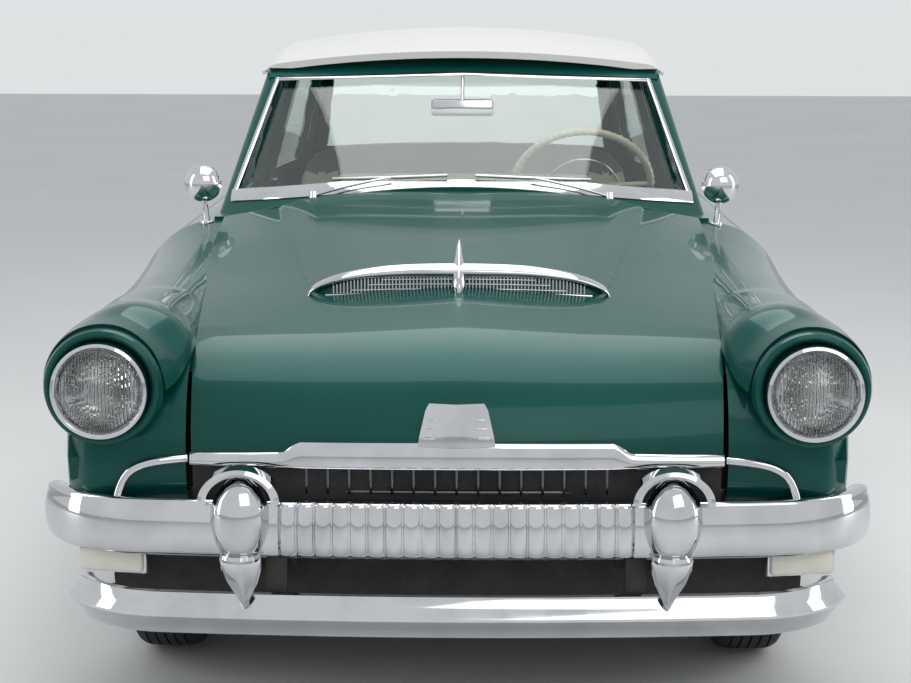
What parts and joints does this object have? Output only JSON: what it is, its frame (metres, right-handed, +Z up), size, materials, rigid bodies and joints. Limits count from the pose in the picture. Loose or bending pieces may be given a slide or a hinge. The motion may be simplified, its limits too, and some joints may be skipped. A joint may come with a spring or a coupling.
{
  "type": "mid-1950s four-door saloon car",
  "caption": "Full-size 1950s saloon car with separate body panels, opening doors, hood and trunk, real bumpers and grille, steered front wheels and turning road wheels.",
  "frame": {"origin": "on the ground under the middle of the car's box", "axes": "+Z up, the car faces -Y, its left side is +X"},
  "size_m": [1.8964, 5.1457, 1.5779],
  "materials": {
    "green_paint": "metallic gloss",
    "white_paint": "gloss",
    "chrome": "polished",
    "window_glass": "clear",
    "lamp_glass": "fluted",
    "tyre_rubber": "whitewall",
    "wheel_paint": "hubcap and rim",
    "bench_vinyl": "pleated vinyl",
    "dash_paint": "gloss",
    "ivory_plastic": "gloss",
    "chassis_black": "satin",
    "engine_iron": "painted",
    "red_lens": "ribbed"
  },
  "bodies": {
    "car_body": {"body_shell": "green_paint", "chassis_frame": "chassis_black", "dashboard": "dash_paint", "engine": "engine_iron", "floor_pan": "chassis_black", "front_bench": "bench_vinyl", "front_bumper": "chrome", "front_fender_left": "green_paint", "front_fender_right": "green_paint", "front_suspension": "chassis_black", "fuel_tank": "chassis_black", "grille": "chrome", "lamp_bezels": "chrome", "lamp_lenses": "lamp_glass", "mirrors": "chrome", "quarter_panel_left": "green_paint", "quarter_panel_right": "green_paint", "rear_axle": "chassis_black", "rear_bench": "bench_vinyl", "rear_bumper": "chrome", "rear_window": "window_glass", "roof_panel": "white_paint", "tail_lamps": "red_lens", "tail_panel": "green_paint", "trunk_floor": "chassis_black", "windshield": "window_glass"},
    "hood": {"hood": "green_paint", "hood_trim": "chrome"},
    "trunk_lid": {"trunk_lid": "green_paint"},
    "door_front_left": {"door_front_left": "green_paint", "door_front_glass_left": "window_glass"},
    "door_front_right": {"door_front_right": "green_paint", "door_front_glass_right": "window_glass"},
    "door_rear_left": {"door_rear_left": "green_paint", "door_rear_glass_left": "window_glass"},
    "door_rear_right": {"door_rear_right": "green_paint", "door_rear_glass_right": "window_glass"},
    "steering_wheel": {"steering_wheel": "ivory_plastic"},
    "knuckle_left": {"knuckle_left": "chassis_black"},
    "knuckle_right": {"knuckle_right": "chassis_black"},
    "wheel_front_left": {"wheel_front_left": "wheel_paint", "tyre_front_left": "tyre_rubber"},
    "wheel_front_right": {"wheel_front_right": "wheel_paint", "tyre_front_right": "tyre_rubber"},
    "wheel_rear_left": {"wheel_rear_left": "wheel_paint", "tyre_rear_left": "tyre_rubber"},
    "wheel_rear_right": {"wheel_rear_right": "wheel_paint", "tyre_rear_right": "tyre_rubber"}
  },
  "joints": [
    {"name": "hood_hinge", "type": "hinge", "parent": "car_body", "child": "hood", "pos_m": [0, -1.12, 1.15], "axis": [-1, 0, 0], "range_deg": [0, 50]},
    {"name": "trunk_hinge", "type": "hinge", "parent": "car_body", "child": "trunk_lid", "pos_m": [0, 1.4, 1.085], "axis": [1, 0, 0], "range_deg": [0, 60]},
    {"name": "door_front_left_hinge", "type": "hinge", "parent": "car_body", "child": "door_front_left", "pos_m": [0.934, -1.1, 0.6], "axis": [0, 0, -1], "range_deg": [0, 65]},
    {"name": "door_front_right_hinge", "type": "hinge", "parent": "car_body", "child": "door_front_right", "pos_m": [-0.934, -1.1, 0.6], "axis": [0, 0, 1], "range_deg": [0, 65]},
    {"name": "door_rear_left_hinge", "type": "hinge", "parent": "car_body", "child": "door_rear_left", "pos_m": [0.934, -0.017, 0.6], "axis": [0, 0, -1], "range_deg": [0, 60]},
    {"name": "door_rear_right_hinge", "type": "hinge", "parent": "car_body", "child": "door_rear_right", "pos_m": [-0.934, -0.017, 0.6], "axis": [0, 0, 1], "range_deg": [0, 60]},
    {"name": "steering", "type": "hinge", "parent": "car_body", "child": "steering_wheel", "pos_m": [0.373, -0.58, 1.09], "axis": [0, 0.848, 0.5299], "range_deg": [-600, 600]},
    {"name": "kingpin_left", "type": "hinge", "parent": "car_body", "child": "knuckle_left", "pos_m": [0.679, -1.708, 0.355], "axis": [0, 0, 1], "range_deg": [-33, 33]},
    {"name": "kingpin_right", "type": "hinge", "parent": "car_body", "child": "knuckle_right", "pos_m": [-0.679, -1.708, 0.355], "axis": [0, 0, 1], "range_deg": [-33, 33]},
    {"name": "wheel_front_left_spin", "type": "hinge", "parent": "knuckle_left", "child": "wheel_front_left", "pos_m": [0.739, -1.708, 0.355], "axis": [1, 0, 0], "continuous": true},
    {"name": "wheel_front_right_spin", "type": "hinge", "parent": "knuckle_right", "child": "wheel_front_right", "pos_m": [-0.739, -1.708, 0.355], "axis": [1, 0, 0], "continuous": true},
    {"name": "wheel_rear_left_spin", "type": "hinge", "parent": "car_body", "child": "wheel_rear_left", "pos_m": [0.716, 1.289, 0.355], "axis": [1, 0, 0], "continuous": true},
    {"name": "wheel_rear_right_spin", "type": "hinge", "parent": "car_body", "child": "wheel_rear_right", "pos_m": [-0.716, 1.289, 0.355], "axis": [1, 0, 0], "continuous": true}
  ],
  "couplings": [
    {"joint": "kingpin_left", "follows": "steering", "ratio": 0.0549},
    {"joint": "kingpin_right", "follows": "steering", "ratio": 0.0549}
  ]
}
